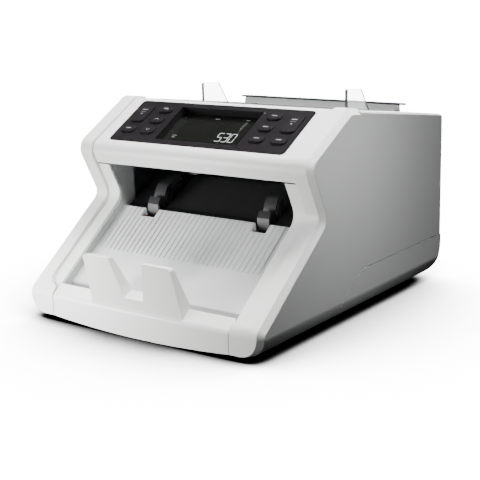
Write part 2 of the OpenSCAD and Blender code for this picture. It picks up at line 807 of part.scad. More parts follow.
// dark lip along the top edge of the note support
module support_lip() color(black) placed() {
    head = [support_y, support_z];
    across(-dark_lip_half, dark_lip_half)
        polygon(outline(
            [head + support_fall / 2, head, head + [0.4, 1.8], head + support_fall + [3, 1.6],
                head + support_fall + [3, -0.6], head + support_fall, head + support_fall / 2],
            [0, 0, 0.8, 0.5, 0.5, 0, 0]));
}

// clear guide with the lug and bush that slide on the rail
bush_r = rail_r + 3;
bush_l = 14;
function by_wall(s, h) =
    [guide_front_y + s * cos(front_wall_tilt) + h * sin(front_wall_tilt),
        front_wall_at(guide_front_y) - s * sin(front_wall_tilt) + h * cos(front_wall_tilt)];
module guide(side) color("#dfe8ea", 0.5) placed() mirrored(side) {
    clear = 2;
    back_slope = 34.3;
    top_back = [guide_front_y + guide_top_d, guide_top_z - 1.5];
    low_y = hopper_foot_y + 2;
    drop = (top_back.y - hopper_at(top_back.x) - clear) / (1 + tan(hopper_tilt) * tan(back_slope));
    back = [top_back.x + drop * tan(back_slope), top_back.y - drop];
    difference() {
        union() {
            across(guide_x - guide_t / 2, guide_x + guide_t / 2) {
                polygon(outline(
                    [[guide_front_y, front_wall_at(guide_front_y) + 30],
                        [guide_front_y, guide_top_z], top_back, back,
                        [low_y + 6, hopper_at(low_y + 6) + clear],
                        [low_y, front_wall_at(low_y) + clear],
                        [guide_front_y, front_wall_at(guide_front_y) + clear],
                        [guide_front_y, front_wall_at(guide_front_y) + 30]],
                    [0, 1.5, 2.5, 3, 2, 0, 0, 0]));
                polygon([
                    by_wall(1, clear + 1), by_wall(7, clear + 1), by_wall(7, -8), [rail_y, rail_z - 4],
                    [rail_y, rail_z + 4], by_wall(1, -6)]);
            }
            bar([rail_y, rail_z], bush_r, guide_x - bush_l / 2, guide_x + bush_l / 2);
        }
        bar([rail_y, rail_z], rail_r + run_gap, 0, body_half);
    }
}

module guide_rail() color(steel) placed() bar([rail_y, rail_z], rail_r, -chassis_in, chassis_in);

// knob that sets the feed gap
knob_y = hopper_lip_y + 20;
knob_h = 9;
module thickness_knob() color(dark) placed() on_front_wall(knob_y) {
    difference() {
        translate([0, 0, seam_gap]) cylinder(r = knob_r, h = knob_h);
        for (a = [0:30:330])
            rotate(a) translate([knob_r + 0.6, 0, 2]) cylinder(r = 1.5, h = knob_h);
    }
    translate([0, 0, -wall - 6]) cylinder(r = axle_r, h = wall + 7);
}

// Control panel

module control_bezel() color(dark) placed() on_panel() {
    difference() {
        union() {
            translate([0, panel_h / 2, 0])
                slab(
                    panel_w - 2 * seam_gap, panel_h - 2 * seam_gap, panel_r - seam_gap,
                    -bezel_t, bezel_proud);
            translate([0, display_s, 0])
                slab(window_w, window_h, window_rim, -display_depth, -bezel_t / 2);
        }
        translate([0, display_s, 0])
            slab(display_w, display_h, window_rim / 2, -display_depth - past, past);
        for (k = KEYS)
            translate([k[1], k[2], 0])
                slab(key_w + 2 * key_gap, k[3] + 2 * key_gap, key_r + key_gap, -2 * bezel_t, past);
    }
}

module display_window() color(black) placed() on_panel()
    translate([0, display_s, 0])
        slab(window_w, window_h, window_rim, -display_depth - window_t, -display_depth);

module display_module() color(board_green) placed() on_panel() {
    top = -display_depth - window_t;
    low = top - glass_t;
    translate([0, display_s, 0]) {
        slab(display_w - window_rim, display_h - window_rim, window_rim / 2, low, top);
        slab(display_w + window_rim, display_h + window_rim, window_rim / 2, low - board_t, low);
    }
}

// two key boards with a dome switch under every key
module key_boards() color(board_green) placed() on_panel() {
    x0 = window_w / 2 + seam_gap;
    x1 = panel_w / 2 - panel_inset - seam_gap;
    h = panel_h - 2 * panel_inset - 2 * seam_gap;
    both() translate([(x0 + x1) / 2, panel_h / 2, 0])
        slab(x1 - x0, h, panel_r / 4, -key_board_depth - board_t, -key_board_depth);
    for (k = KEYS)
        translate([k[1], k[2], -key_board_depth]) cylinder(r = key_h / 3, h = key_hang);
    // posts up to the underside of the control panel
    both() for (s = [key_lift + key_pitch / 2, key_lift + 1.5 * key_pitch])
        translate([(key_in_x + key_out_x) / 2, s, -key_board_depth])
            cylinder(r = key_between / 5, h = key_board_depth - bezel_t);
}

module control_key(i) color("#4a4648") placed() on_panel() {
    k = KEYS[i];
    low = -bezel_t - key_hang;
    translate([k[1], k[2], 0]) {
        slab(key_w, k[3], key_r, low - 0.2, key_rise - 0.6);
        slab(key_w - 1, k[3] - 1, key_r - 0.5, low, key_rise);
        slab(key_w + 2 * key_flange, k[3] + 2 * key_flange, key_r + key_flange, low - key_flange_t, low);
        translate([0, 0, -key_stem]) cylinder(r = 2.2, h = key_stem);
    }
}

// Chassis

module chassis_plate(side) color(steel) placed() mirrored(side) {
    front_y = ramp_top_y + plate_gap;
    step_y = console_end_y + plate_gap;
    rear_y = body_d - wall - 2 * shaft_r;
    rear_sag = sqrt(pow(back_r - wall, 2) - pow(rear_y - body_d + back_r, 2));
    top_z = lip_z + plate_gap;
    flange_z = wall + plate_t;
    difference() {
        union() {
            across(chassis_in, chassis_out)
                polygon([
                    [front_y, wall], [body_d - back_r, wall], [rear_y, back_r + seam_gap - rear_sag],
                    [rear_y, top_at(rear_y) - wall - seam_gap], [step_y, top_at(step_y) - wall - seam_gap],
                    [step_y, top_z], [front_y + flange_w, top_z], [front_y, lip_z - flange_w]]);
            block(
                chassis_in - flange_w, chassis_in + plate_t / 2,
                seam_top_y, body_d - back_r, wall, flange_z);
        }
        for (c = driven)
            bar(c, bearing_r + bush_fit, 0, body_half);
        for (c = pinched)
            bar(c, small_bearing_r + bush_fit, 0, body_half);
        if (side < 0)
            bar(motor_c, collar_r + run_gap, 0, body_half);
        mirrored(side) screw_places() cylinder(r = screw_r / 2 + run_gap, h = 3 * wall);
    }
}

// side view places of the rods that hold the chassis plates together
tie_places = [
    [stacker_y - shaft_r / 2, stacker_z - wheel_r - 2 * shaft_r + past],
    [front_roll_y + 2 * roller_r, stacker_z - encoder_r - shaft_r / 2],
    [body_d - back_r - shaft_r, motor_z + shaft_r],
    [hopper_lip_y + 2.5 * shaft_r, rail_z + 2 * bush_r + past]];
module tie_rods() color(steel) placed()
    for (c = tie_places)
        bar(c, shaft_r, -chassis_in, chassis_in);

// flanged bush in a chassis plate
module bush(c, outer, bore) difference() {
    union() {
        bar(c, outer, chassis_in - bush_flange / 4, chassis_out + bush_flange / 4);
        bar(c, outer + 1, chassis_in - bush_flange, chassis_in);
    }
    bar(c, bore, 0, body_half);
}

module shaft_bearings() color("#c9a24a") placed() both() {
    for (c = driven)
        bush(c, bearing_r, shaft_r + run_gap);
    for (c = pinched)
        bush(c, small_bearing_r, axle_r + run_gap);
}

// Rollers and drive

// a shaft with a pair of rollers
module roller_pair(c, r, x, axle, x0, x1) {
    bar(c, axle, x0, x1);
    both() bar(c, r, x - roller_w / 2, x + roller_w / 2);
}

module pulley(c, r, i) bar(c, r, lane(i) - 0.5, lane(i) + belt_w + 0.5);

module pickup_roller() color(rubber) placed() {
    roller_pair(pickup_c, pickup_r, pickup_x, shaft_r, shaft_left, shaft_right);
    pulley(pickup_c, pickup_link_r, 1);
}

module feed_roller() color(rubber) placed() {
    roller_pair(feed_c, feed_r, feed_x, shaft_r, shaft_left, shaft_right);
    pulley(feed_c, pickup_link_r, 1);
    pulley(feed_c, feed_big_r, 2);
}

module rear_transport_roller() color(rubber) placed() {
    roller_pair(rear_c, roller_r, roller_x, shaft_r, shaft_left, shaft_right);
    pulley(rear_c, rear_big_r, 0);
    pulley(rear_c, link_r, 1);
    pulley(rear_c, link_r, 2);
}

module front_transport_roller() color(rubber) placed() {
    roller_pair(front_c, roller_r, roller_x, shaft_r, shaft_left, shaft_right);
    pulley(front_c, stacker_small_r, 0);
    pulley(front_c, link_r, 1);
}

module rear_pinch_roller() color(black) placed()
    roller_pair(rear_pinch_c, pinch_r, roller_x, axle_r, -chassis_out - 1, chassis_out + 1);

module front_pinch_roller() color(black) placed()
    roller_pair(front_pinch_c, pinch_r, roller_x, axle_r, -chassis_out - 1, chassis_out + 1);

retard_half = feed_x + roller_w / 2;
module retard_roller() color(rubber) placed()
    roller_pair(retard_c, retard_r, feed_x, axle_r, -retard_half - 3, retard_half + 3);

// a side view point under the hopper's front wall
function under(y, drop) =
    [y, front_wall_at(y) - wall / cos(front_wall_tilt) - past / 10 - drop];

// bracket under the hopper's front wall that carries the retard roller
arm_d = 11;
cheek_t = 1.6;
module retard_bracket() color(steel) placed() {
    seat_y = retard_c.x - retard_r - axle_r;
    arm_y = seat_y - arm_d;
    tab_y = arm_y + 3 * axle_r;
    inner = retard_half + seam_gap;
    difference() {
        union() {
            both() across(inner, inner + cheek_t)
                polygon([
                    retard_c + axle_r * [2, -0.7], retard_c + axle_r * [0, -2], under(arm_y, arm_d),
                    under(arm_y, 0), under(seat_y, 0), retard_c + axle_r * [-0.3, 1.3],
                    retard_c + axle_r * [1.7, 1]]);
            across(-inner - cheek_t, inner + cheek_t)
                polygon([
                    under(arm_y, 0), under(tab_y, 0), under(tab_y, cheek_t), under(arm_y, cheek_t)]);
        }
        bar(retard_c, axle_r + run_gap, -body_half, body_half);
    }
}

module stacker_shaft() color(steel) placed() {
    bar(stacker_c, shaft_r, shaft_left, shaft_right);
    pulley(stacker_c, stacker_big_r, 0);
}

// one finger: a thin arc from the hub to the rim, trailing the way the wheel turns
module finger() intersection() {
    circle(wheel_r);
    translate([0, -finger_bend * 0.68]) difference() {
        circle(finger_bend + finger_t / 2);
        circle(finger_bend - finger_t / 2);
    }
    translate([0, -2 * wheel_r]) square([2 * wheel_r, 4 * wheel_r]);
}

module stacker_wheels() color(black) placed()
    both() translate([0, stacker_c.x, stacker_c.y]) difference() {
        union() {
            across(wheel_x - wheel_w / 2, wheel_x + wheel_w / 2) {
                circle(hub_r);
                for (i = [0:fingers - 1])
                    rotate(i * 360 / fingers) finger();
            }
        }
        bar([0, 0], shaft_r + 0.02, 0, body_half);
    }

module encoder_disc() color(black) placed() difference() {
    bar(front_c, encoder_r, chassis_out + 2, chassis_out + 3.2);
    bar(front_c, shaft_r + 0.02, 0, body_half);
    for (i = [0:encoder_slots - 1])
        translate([0, front_c.x, front_c.y]) rotate([i * 360 / encoder_slots, 0, 0])
            block(0, body_half, -0.6, 0.6, encoder_r - 5, encoder_r - 1.5);
}

// Note guides and sensors

// slots for the rollers on the shaft at c
module roller_slots(c, x, w)
    both() block(x - w / 2 - 1.5, x + w / 2 + 1.5, c.x - roller_r, c.x + roller_r, 0, nose_z);

module upper_note_guide() color(black) placed() {
    low = path_z + path_gap;
    bend_y = rear_roll_y + 4;
    difference() {
        across(-note_half, note_half)
            ribbon(
                [[lip.x + lip_d + seam_gap, lip.y - 0.5], [lip.x + 2.5 * lip_d, lip.y - 2],
                    [stacker_y + 12, low], [bend_y, low], [bend_y + 12, low + 6]],
                [0, 12, 30, 14, 0], -note_guide_t);
        roller_slots(rear_c, roller_x, roller_w);
        roller_slots(front_c, roller_x, roller_w);
    }
}

module lower_note_guide() color(black) placed() {
    high = path_z - path_gap;
    slot = wheel_w / 2 + 2;
    turn_y = support_y - (support_z - high) / tan(hopper_tilt);
    start_y = nip_y - 1;
    difference() {
        across(-note_half, note_half)
            ribbon(
                [[ramp_top_y + 4, ramp_at(ramp_top_y) - 3], [stacker_y + 22, high], [turn_y, high],
                    [start_y, hopper_at(start_y)]],
                [0, 20, 14, 0], note_guide_t);
        roller_slots(rear_c, roller_x, roller_w);
        roller_slots(front_c, roller_x, roller_w);
        roller_slots([start_y - 3, 0], feed_x, roller_w);
        both() block(wheel_x - slot, wheel_x + slot, 0, stacker_y + 2 * hub_r, 0, nose_z);
    }
}

module sensor_bars() color("#33363a") placed() {
    mid = (rear_roll_y + front_roll_y) / 2;
    half = (rear_roll_y - front_roll_y) / 2 - roller_r - 2;
    upper = path_z + path_gap + note_guide_t;
    lower = path_z - path_gap - note_guide_t;
    end = note_half - wall;
    block(-end, end, mid - half, mid + half, upper, upper + roller_r);
    block(-end, end, mid - half, mid + half, lower - roller_r, lower);
}

// Drive

module main_motor() color(steel) placed() difference() {
    union() {
        bar(motor_c, motor_r, -chassis_in, motor_l - chassis_in);
        bar(motor_c, collar_r, -chassis_out, past - chassis_in);
        bar(motor_c, 0.7 * motor_r, motor_l - chassis_in - past, 1.1 * motor_l - chassis_in);
    }
    bar(motor_c, axle_r + run_gap, -body_half, 0.44 * motor_l - chassis_in);
}

module motor_pulley() color(steel) placed() {
    bar(motor_c, axle_r, lane(0) - 2, 0.4 * motor_l - chassis_in);
    pulley(motor_c, motor_pulley_r, 0);
}

// loop round two circles, joined by their outer tangents
function loop(a, ra, b, rb) =
    let (d = b - a, way = atan2(d.y, d.x), open = acos((ra - rb) / norm(d)), steps = 16)
        concat(
            [for (k = [0:steps])
                let (t = way + open + k * (360 - 2 * open) / steps) a + ra * [cos(t), sin(t)]],
            [for (k = [0:steps])
                let (t = way - open + k * 2 * open / steps) b + rb * [cos(t), sin(t)]]);

module belt(a, ra, b, rb, i)
    across(lane(i), lane(i) + belt_w) difference() {
        polygon(loop(a, ra + belt_gap + belt_t, b, rb + belt_gap + belt_t));
        polygon(loop(a, ra + belt_gap, b, rb + belt_gap));
    }

module drive_belts() color(rubber) placed() {
    belt(motor_c, motor_pulley_r, rear_c, rear_big_r, 0);
    belt(front_c, stacker_small_r, stacker_c, stacker_big_r, 0);
    belt(rear_c, link_r, front_c, link_r, 1);
    belt(feed_c, pickup_link_r, pickup_c, pickup_link_r, 1);
    belt(rear_c, link_r, feed_c, feed_big_r, 2);
}

// Electrics

post_h = 5;
post_r = 3;
post_in = 6;
board_z = wall + post_h;
board_half = chassis_in - flange_w - post_h;
chip_w = 30;
chip_h = 3;
plug_w = 30;
plug_h = 9;

// four hollow posts that carry the corners of a board
module posts(x0, x1, y0, y1)
    for (x = [x0 + post_in, x1 - post_in], y = [y0 + post_in, y1 - post_in])
        translate([x, y, wall]) cylinder(r = post_r, h = post_h + board_t / 3);

// a block on a board, from x0 and y0 on
module fitted(x0, y0, w, d, h) translate([x0, y0, board_z + board_t / 2]) cube([w, d, board_t / 2 + h]);

module main_board() color(board_green) placed() {
    y0 = stacker_y - post_r;
    y1 = rear_roll_y - 2 * post_h;
    plug_y = y1 - plug_h - post_r;
    block(-board_half, board_half, y0, y1, board_z, board_z + board_t);
    posts(-board_half, board_half, y0, y1);
    fitted(-chip_w / 2, (y0 + y1 - chip_w) / 2, chip_w, chip_w, chip_h);
    fitted(board_half - 2 * chip_w, y0 + chip_w / 2, chip_w / 2, chip_w / 2, chip_h);
    for (x = [-board_half + 2 * post_in, board_half - 2 * post_in - plug_w])
        fitted(x, plug_y, plug_w, plug_h, plug_h);
}

// power supply: transformer, two capacitors and a heat sink on their board
supply_w = 100;
core_w = 34;
core_h = 26;
can_r = 7;
sink_t = 4;
module power_supply() color("#7a6a3a") placed() {
    x1 = board_half;
    x0 = x1 - supply_w;
    y0 = rear_roll_y + wall;
    y1 = body_d - inlet_d - inlet_d / 2;
    block(x0, x1, y0, y1, board_z, board_z + board_t);
    posts(x0, x1, y0, y1);
    fitted(x0 + core_w, (y0 + y1 - core_w) / 2, core_w, core_w, core_h);
    for (y = [y0 + 2 * can_r, y0 + 5 * can_r])
        translate([x1 - 2 * can_r, y, board_z + board_t / 2]) cylinder(r = can_r, h = core_h);
    fitted(x0 + 2 * sink_t, y0 + 3 * sink_t, sink_t, y1 - y0 - 6 * sink_t, core_h);
}

// mains inlet module: socket with three pins below, rocker bay above
socket_w = 24;
socket_h = 17;
socket_d = 16;
socket_lift = 4;
rocker_gap = 0.5;
rocker_lift = inlet_h - rocker_h - 4;
pivot_in = 6;
pivot_r = 1.5;
module mains_inlet() color(black) placed() inlet_place() {
    pin_l = 12;
    difference() {
        union() {
            block(-inlet_w / 2, inlet_w / 2, -inlet_d, 0, 0, inlet_h);
            block(-inlet_w / 2 - 2, inlet_w / 2 + 2, -wall - 2, -wall, -2, inlet_h + 2);
        }
        translate([0, -socket_d, socket_lift + socket_h / 2]) rotate([-90, 0, 0])
            slab(socket_w, socket_h, wall, 0, socket_d + past);
        block(
            -rocker_w / 2 - rocker_gap, rocker_w / 2 + rocker_gap, -socket_d, past,
            rocker_lift - rocker_gap, rocker_lift + rocker_h + rocker_gap);
    }
    for (p = [[-7, -2], [7, -2], [0, 3]])
        translate([p.x, -socket_d - past, socket_lift + socket_h / 2 + p.y])
            block(-1, 1, 0, pin_l, -2, 2);
    // pivot pins of the rocker
    rocker_axis() both() bar([0, 0], pivot_r, rocker_w / 2 - 2, rocker_w / 2 + 1);
}

module rocker_axis() translate([0, -pivot_in, rocker_lift + rocker_h / 2]) children();

// rocker with a shallow V across its face, set to one of its two ends
rocker_tilt = 8;
module power_rocker() color("#6e1f1f") placed() inlet_place() rocker_axis() rotate([-rocker_tilt, 0, 0])
    difference() {
        face = pivot_in - 0.8;
        end = rocker_h / 2 - 0.6;
        across(-rocker_w / 2, rocker_w / 2)
            polygon([
                [face - 1.2, 0], [face, end], [-1, end], [-4, 3], [-4, -3], [-1, -end], [face, -end]]);
        bar([0, 0], pivot_r + run_gap, -inlet_w, inlet_w);
    }

// Feet and screws

module rubber_feet() color(rubber) placed()
    both() for (y = [foot_inset_y, body_d - foot_inset_y])
        translate([foot_x, y, -foot_h]) cylinder(r1 = foot_r - 1, r2 = foot_r, h = foot_h);

module screw(l) {
    cylinder(r = screw_r, h = head_t);
    cylinder(r = screw_r / 2, h = l);
}

module housing_screws() color(steel) placed() {
    screw_places() translate([0, 0, head_sink]) screw(wall + plate_t - head_sink);
    rear_screw_places() translate([0, -head_sink, 0]) rotate([90, 0, 0]) screw(2 * wall);
}

base_tray();
side_panel(-1);  // left_side_panel
side_panel(1);  // right_side_panel
side_frame(-1);  // left_side_frame
side_frame(1);  // right_side_frame
console_cover();
pocket_front();
pocket_ramp();
pocket_wall(-1);  // left_pocket_wall
pocket_wall(1);  // right_pocket_wall
rear_cover();
hopper_front();
hopper_plate();
note_support();
support_lip();
control_bezel();
display_window();
display_module();
key_boards();
for (i = [0:len(KEYS) - 1])
    control_key(i);
guide(-1);  // left_guide
guide(1);  // right_guide
guide_rail();
chassis_plate(-1);  // left_chassis_plate
chassis_plate(1);  // right_chassis_plate
tie_rods();
shaft_bearings();
pickup_roller();
feed_roller();
retard_roller();
retard_bracket();
thickness_knob();
rear_transport_roller();
front_transport_roller();
rear_pinch_roller();
front_pinch_roller();
stacker_shaft();
stacker_wheels();
encoder_disc();
upper_note_guide();
lower_note_guide();
sensor_bars();
main_motor();
motor_pulley();
drive_belts();
main_board();
power_supply();
mains_inlet();
power_rocker();
rubber_feet();
housing_screws();
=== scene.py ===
"""Looks of a desktop banknote counter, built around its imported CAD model. Lengths are in metres."""

import json
import math

import bmesh
import bpy
from mathutils import Matrix, Vector

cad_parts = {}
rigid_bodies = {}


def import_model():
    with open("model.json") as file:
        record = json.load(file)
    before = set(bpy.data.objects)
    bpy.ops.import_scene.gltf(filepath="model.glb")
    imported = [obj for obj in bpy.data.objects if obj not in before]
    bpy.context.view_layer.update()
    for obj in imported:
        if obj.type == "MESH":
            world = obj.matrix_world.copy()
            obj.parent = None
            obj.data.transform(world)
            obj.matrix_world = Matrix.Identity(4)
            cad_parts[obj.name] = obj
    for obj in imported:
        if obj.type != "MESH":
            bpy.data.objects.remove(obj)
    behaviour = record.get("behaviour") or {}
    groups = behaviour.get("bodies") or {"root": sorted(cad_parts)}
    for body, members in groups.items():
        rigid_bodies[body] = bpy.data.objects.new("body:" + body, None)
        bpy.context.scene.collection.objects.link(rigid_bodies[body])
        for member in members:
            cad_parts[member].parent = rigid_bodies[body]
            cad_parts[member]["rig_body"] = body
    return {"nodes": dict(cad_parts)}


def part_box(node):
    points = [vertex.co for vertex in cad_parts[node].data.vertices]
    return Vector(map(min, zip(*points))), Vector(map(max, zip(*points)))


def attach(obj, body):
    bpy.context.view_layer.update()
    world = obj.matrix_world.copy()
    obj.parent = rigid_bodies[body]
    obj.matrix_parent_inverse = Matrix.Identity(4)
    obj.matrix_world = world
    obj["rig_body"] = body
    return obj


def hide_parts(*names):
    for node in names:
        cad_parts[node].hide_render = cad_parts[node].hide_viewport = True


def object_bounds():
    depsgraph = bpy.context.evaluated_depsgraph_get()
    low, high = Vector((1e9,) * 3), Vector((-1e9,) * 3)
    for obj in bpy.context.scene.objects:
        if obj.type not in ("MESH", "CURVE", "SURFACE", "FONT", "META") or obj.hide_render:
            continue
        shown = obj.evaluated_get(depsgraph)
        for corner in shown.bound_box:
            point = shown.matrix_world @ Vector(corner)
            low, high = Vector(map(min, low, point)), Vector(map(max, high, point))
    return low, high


MM = 0.001
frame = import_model()
cad_low, cad_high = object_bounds()

# The control panel's own frame: X across, Y up the slope, Z out of the panel
CONSOLE_SLOPE = math.radians(29.5)
PANEL_PROUD = 0.3 * MM
PANEL_SEAM = 0.3 * MM
PANEL_LENGTH = 58.8 * MM
DISPLAY_DEPTH = 6.5 * MM
KEY_RISE = 2.0 * MM


def panel_frame():
    """Matrix of the control panel, worked out from the box of its bezel."""
    low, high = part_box("control_bezel")
    cos, sin = math.cos(CONSOLE_SLOPE), math.sin(CONSOLE_SLOPE)
    foot_y = low.y - PANEL_SEAM * cos + PANEL_PROUD * sin
    foot_z = high.z - (PANEL_LENGTH - PANEL_SEAM) * sin - PANEL_PROUD * cos
    return Matrix.Translation((0, foot_y, foot_z)) @ Matrix.Rotation(CONSOLE_SLOPE, 4, "X")


PANEL = panel_frame()
INTO_PANEL = PANEL.inverted()


# Materials

GRAIN_DETAIL, GRAIN_ROUGHNESS = 3.0, 0.6
DRIFT_MM, DRIFT_DETAIL = 45, 2.0
GLOSS_SPREAD = 0.06
RELIEF_STRENGTH = 0.5
# Sockets of a Mix node that blends colours, by number because several share a name
MIX_FACTOR, MIX_FIRST, MIX_SECOND, MIX_RESULT = 0, 6, 7, 2


def srgb(hex_colour):
    """Linear colour of an sRGB hex value."""
    parts = [int(hex_colour[i : i + 2], 16) / 255 for i in (1, 3, 5)]
    linear = [c / 12.92 if c <= 0.04045 else ((c + 0.055) / 1.055) ** 2.4 for c in parts]
    return (*linear, 1.0)


def add_node(tree, kind, settings=None, inputs=None, links=None):
    """Adds a node, sets its properties and input values, and links outputs to its inputs."""
    node = tree.nodes.new(kind)
    for name, value in (settings or {}).items():
        setattr(node, name, value)
    for socket, value in (inputs or {}).items():
        node.inputs[socket].default_value = value
    for socket, source in (links or {}).items():
        tree.links.new(source, node.inputs[socket])
    return node


def new_material(name):
    """A material with nodes, its node tree and its shader."""
    material = bpy.data.materials.new(name)
    material.use_nodes = True
    tree = material.node_tree
    return material, tree, tree.nodes["Principled BSDF"]


def surface(
    name, colour, shade, roughness, grain_mm, depth_mm=0.0, stretch=(1.0, 1.0, 1.0), **shader
):
    """A finish whose grain varies the gloss and the relief, and whose colour drifts slowly.

    The other keywords set the shader's own sockets, with _ for each space. The drift is the slight
    cloudiness that resin, plating and ink have over a few centimetres.
    """
    material, tree, principled = new_material(name)
    for socket, value in shader.items():
        principled.inputs[socket.replace("_", " ")].default_value = value
    place = add_node(tree, "ShaderNodeTexCoord").outputs["Object"]
    stretched = add_node(tree, "ShaderNodeMapping", None, {"Scale": stretch}, {"Vector": place})
    grain = add_node(
        tree, "ShaderNodeTexNoise", None,
        {"Scale": 1 / (grain_mm * MM), "Detail": GRAIN_DETAIL, "Roughness": GRAIN_ROUGHNESS},
        {"Vector": stretched.outputs["Vector"]},
    )
    drift = add_node(
        tree, "ShaderNodeTexNoise", None,
        {"Scale": 1 / (DRIFT_MM * MM), "Detail": DRIFT_DETAIL}, {"Vector": place},
    )
    tint = add_node(
        tree, "ShaderNodeMix", {"data_type": "RGBA"},
        {MIX_FIRST: srgb(colour), MIX_SECOND: srgb(shade)}, {MIX_FACTOR: drift.outputs["Fac"]},
    )
    gloss = add_node(
        tree, "ShaderNodeMapRange", None,
        {"To Min": max(roughness - GLOSS_SPREAD, 0.0), "To Max": roughness + GLOSS_SPREAD},
        {"Value": grain.outputs["Fac"]},
    )
    tree.links.new(tint.outputs[MIX_RESULT], principled.inputs["Base Color"])
    tree.links.new(gloss.outputs["Result"], principled.inputs["Roughness"])
    if depth_mm:
        relief = add_node(
            tree, "ShaderNodeBump", None,
            {"Strength": RELIEF_STRENGTH, "Distance": depth_mm * MM},
            {"Height": grain.outputs["Fac"]},
        )
        tree.links.new(relief.outputs["Normal"], principled.inputs["Normal"])
    return material


ABS_IOR = 1.53
ACETAL_IOR = 1.48
ACRYLIC_IOR = 1.49
POLYCARBONATE_IOR = 1.58
# How marks run: along a rolled plate or a drawn shaft, up the wiped display, up the rubbed guides
ALONG_PLATE = (1.0, 0.08, 1.0)
ALONG_SHAFT = (0.05, 1.0, 1.0)
WIPED = (1.0, 0.25, 0.25)
RUBBED = (1.0, 1.0, 0.2)

# Each finish has its colour, its shade, roughness, grain width and grain depth in millimetres.
# The real grain of these moulds, rubbers and metals is about 0.2 mm or finer. It is drawn
# coarser, so that it shows at all.

# White ABS of the frames, the front, the console and the rear cover: bright, satin, with the
# finest grain.
white_abs = surface("white_satin_abs", "#e4e4e2", "#dedfdd", 0.44, 1.4, 0.012, IOR=ABS_IOR)
# Light grey ABS of the side panels, the base and the hopper's rear: a little duller and coarser.
grey_abs = surface("light_grey_satin_abs", "#b7b8b8", "#b1b2b2", 0.48, 1.6, 0.016, IOR=ABS_IOR)
# Pocket sides: mid-grey ABS, nearly matt.
pocket_abs = surface("pocket_grey_abs", "#b0b2b2", "#a8aaaa", 0.5, 1.6, 0.016, IOR=ABS_IOR)
# Pocket ramp: pale grey ABS, worn slightly smoother by use.
ramp_abs = surface("ramp_pale_abs", "#cfd0d0", "#c8c9c9", 0.38, 1.6, 0.012, IOR=ABS_IOR)
# Control panel: charcoal ABS with a smooth satin lacquer, whose gloss varies slowly where hands
# wiped it.
panel_abs = surface(
    "charcoal_lacquered_abs", "#191719", "#171517", 0.3, 14.0, Specular_IOR_Level=0.2
)
# Keys: the same lacquer, a shade lighter, rubbed by fingers.
key_abs = surface("key_charcoal_abs", "#1b191b", "#191719", 0.3, 14.0, Specular_IOR_Level=0.2)
# Key skirts, rounded edges and the recess's walls: painted shade, a near-black matt finish where the
# charcoal plastic lies in shadow.
painted_shade_abs = surface(
    "etched_black_abs", "#08080a", "#070708", 0.7, 1.6, 0.01, Specular_IOR_Level=0.15
)
# Finger wheels, inner guides, mains inlet and support lip: black ABS, matt.
black_abs = surface("black_matt_abs", "#1d1d1f", "#232325", 0.52, 1.6, 0.02, IOR=ABS_IOR)
# Hopper lining and thickness knob: dark grey ABS, satin.
hopper_abs = surface("hopper_dark_abs", "#3a3a3c", "#343436", 0.48, 1.6, 0.016, IOR=ABS_IOR)
# Switch rocker: dark red ABS, polished by the mould.
rocker_abs = surface("rocker_red_abs", "#7a1d1d", "#701818", 0.25, 1.2, 0.004, IOR=ABS_IOR)
# Pulleys: black acetal, waxy and smooth.
acetal = surface("black_turned_acetal", "#202022", "#1b1b1d", 0.35, 1.2, 0.004, IOR=ACETAL_IOR)
# Roller tyres: ground rubber, dull with a fine tooth.
tyre_rubber = surface("ground_roller_rubber", "#2c2c2e", "#242426", 0.78, 1.2, 0.04)
# Feet and belts: moulded rubber, dull black. The same black fills the joints under and beside the
# console as painted shade.
rubber_and_shade_black = surface("moulded_black_rubber", "#19191b", "#202022", 0.7, 1.4, 0.03)
# Circuit boards: green solder mask over glass fibre, glossy.
solder_mask = surface("green_solder_mask", "#24583a", "#1e4a31", 0.3, 1.2, 0.01)
# Chassis, motor and screws: zinc-plated steel, with marks from rolling along the plate.
zinc_steel = surface(
    "zinc_plated_steel", "#b4b7bb", "#a9adb2", 0.38, 1.5, 0.0, ALONG_PLATE, Metallic=1.0
)
# Shafts and rods: drawn steel with marks along their length.
drawn_steel = surface(
    "bright_drawn_steel", "#b9bbbe", "#aeb1b5", 0.3, 1.5, 0.0, ALONG_SHAFT, Metallic=1.0
)
# Bearing bushes: sintered bronze, brown-gold and slightly porous.
bronze = surface("sintered_bronze", "#b98f4b", "#a88144", 0.45, 1.5, 0.01, Metallic=1.0)
# Display window: black-backed acrylic, polished, with faint wipe marks in the gloss.
display_acrylic = surface(
    "black_backed_acrylic", "#161715", "#131412", 0.14, 9.0, 0.0, WIPED, IOR=ACRYLIC_IOR
)
# Guides: clear cast acrylic; the broad faces are polished and show only faint rubbing.
clear_acrylic = surface(
    "clear_cast_acrylic", "#fbfdfd", "#f8fafa", 0.04, 6.0, 0.0, RUBBED,
    IOR=ACRYLIC_IOR, Transmission_Weight=1.0,
)
# Their sawn and flamed edges gather light from inside and look grey.
acrylic_edge = surface(
    "flamed_acrylic_edge", "#626464", "#585a5a", 0.3, 1.5, 0.01,
    IOR=ACRYLIC_IOR, Transmission_Weight=0.35,
)
# Lit segments of the display: a cold white glow behind a diffusing film.
segment_glow = surface(
    "lit_display_segments", "#4a4d50", "#434649", 0.5, 1.2,
    Emission_Color=srgb("#eef3f7"), Emission_Strength=1.3,
)
# Small segments and status marks: the same film with less light behind it.
dim_glow = surface(
    "dim_display_segments", "#4a4d50", "#434649", 0.5, 1.2,
    Emission_Color=srgb("#dfe4e6"), Emission_Strength=0.25,
)
# Key symbols: grey pad-printed ink, slightly uneven in cover.
symbol_ink = surface("grey_printed_ink", "#8d8d8f", "#7c7c7e", 0.6, 0.5, 0.002)
# Lens of the status lamp: milky polycarbonate.
lamp_lens = surface(
    "milky_lamp_lens", "#5c5b5d", "#525153", 0.3, 1.2, 0.002, IOR=POLYCARBONATE_IOR
)


# Pieces that stand for CAD nodes

SHARP = math.radians(32)
FLAT = math.radians(0.4)
WELD = 0.004 * MM

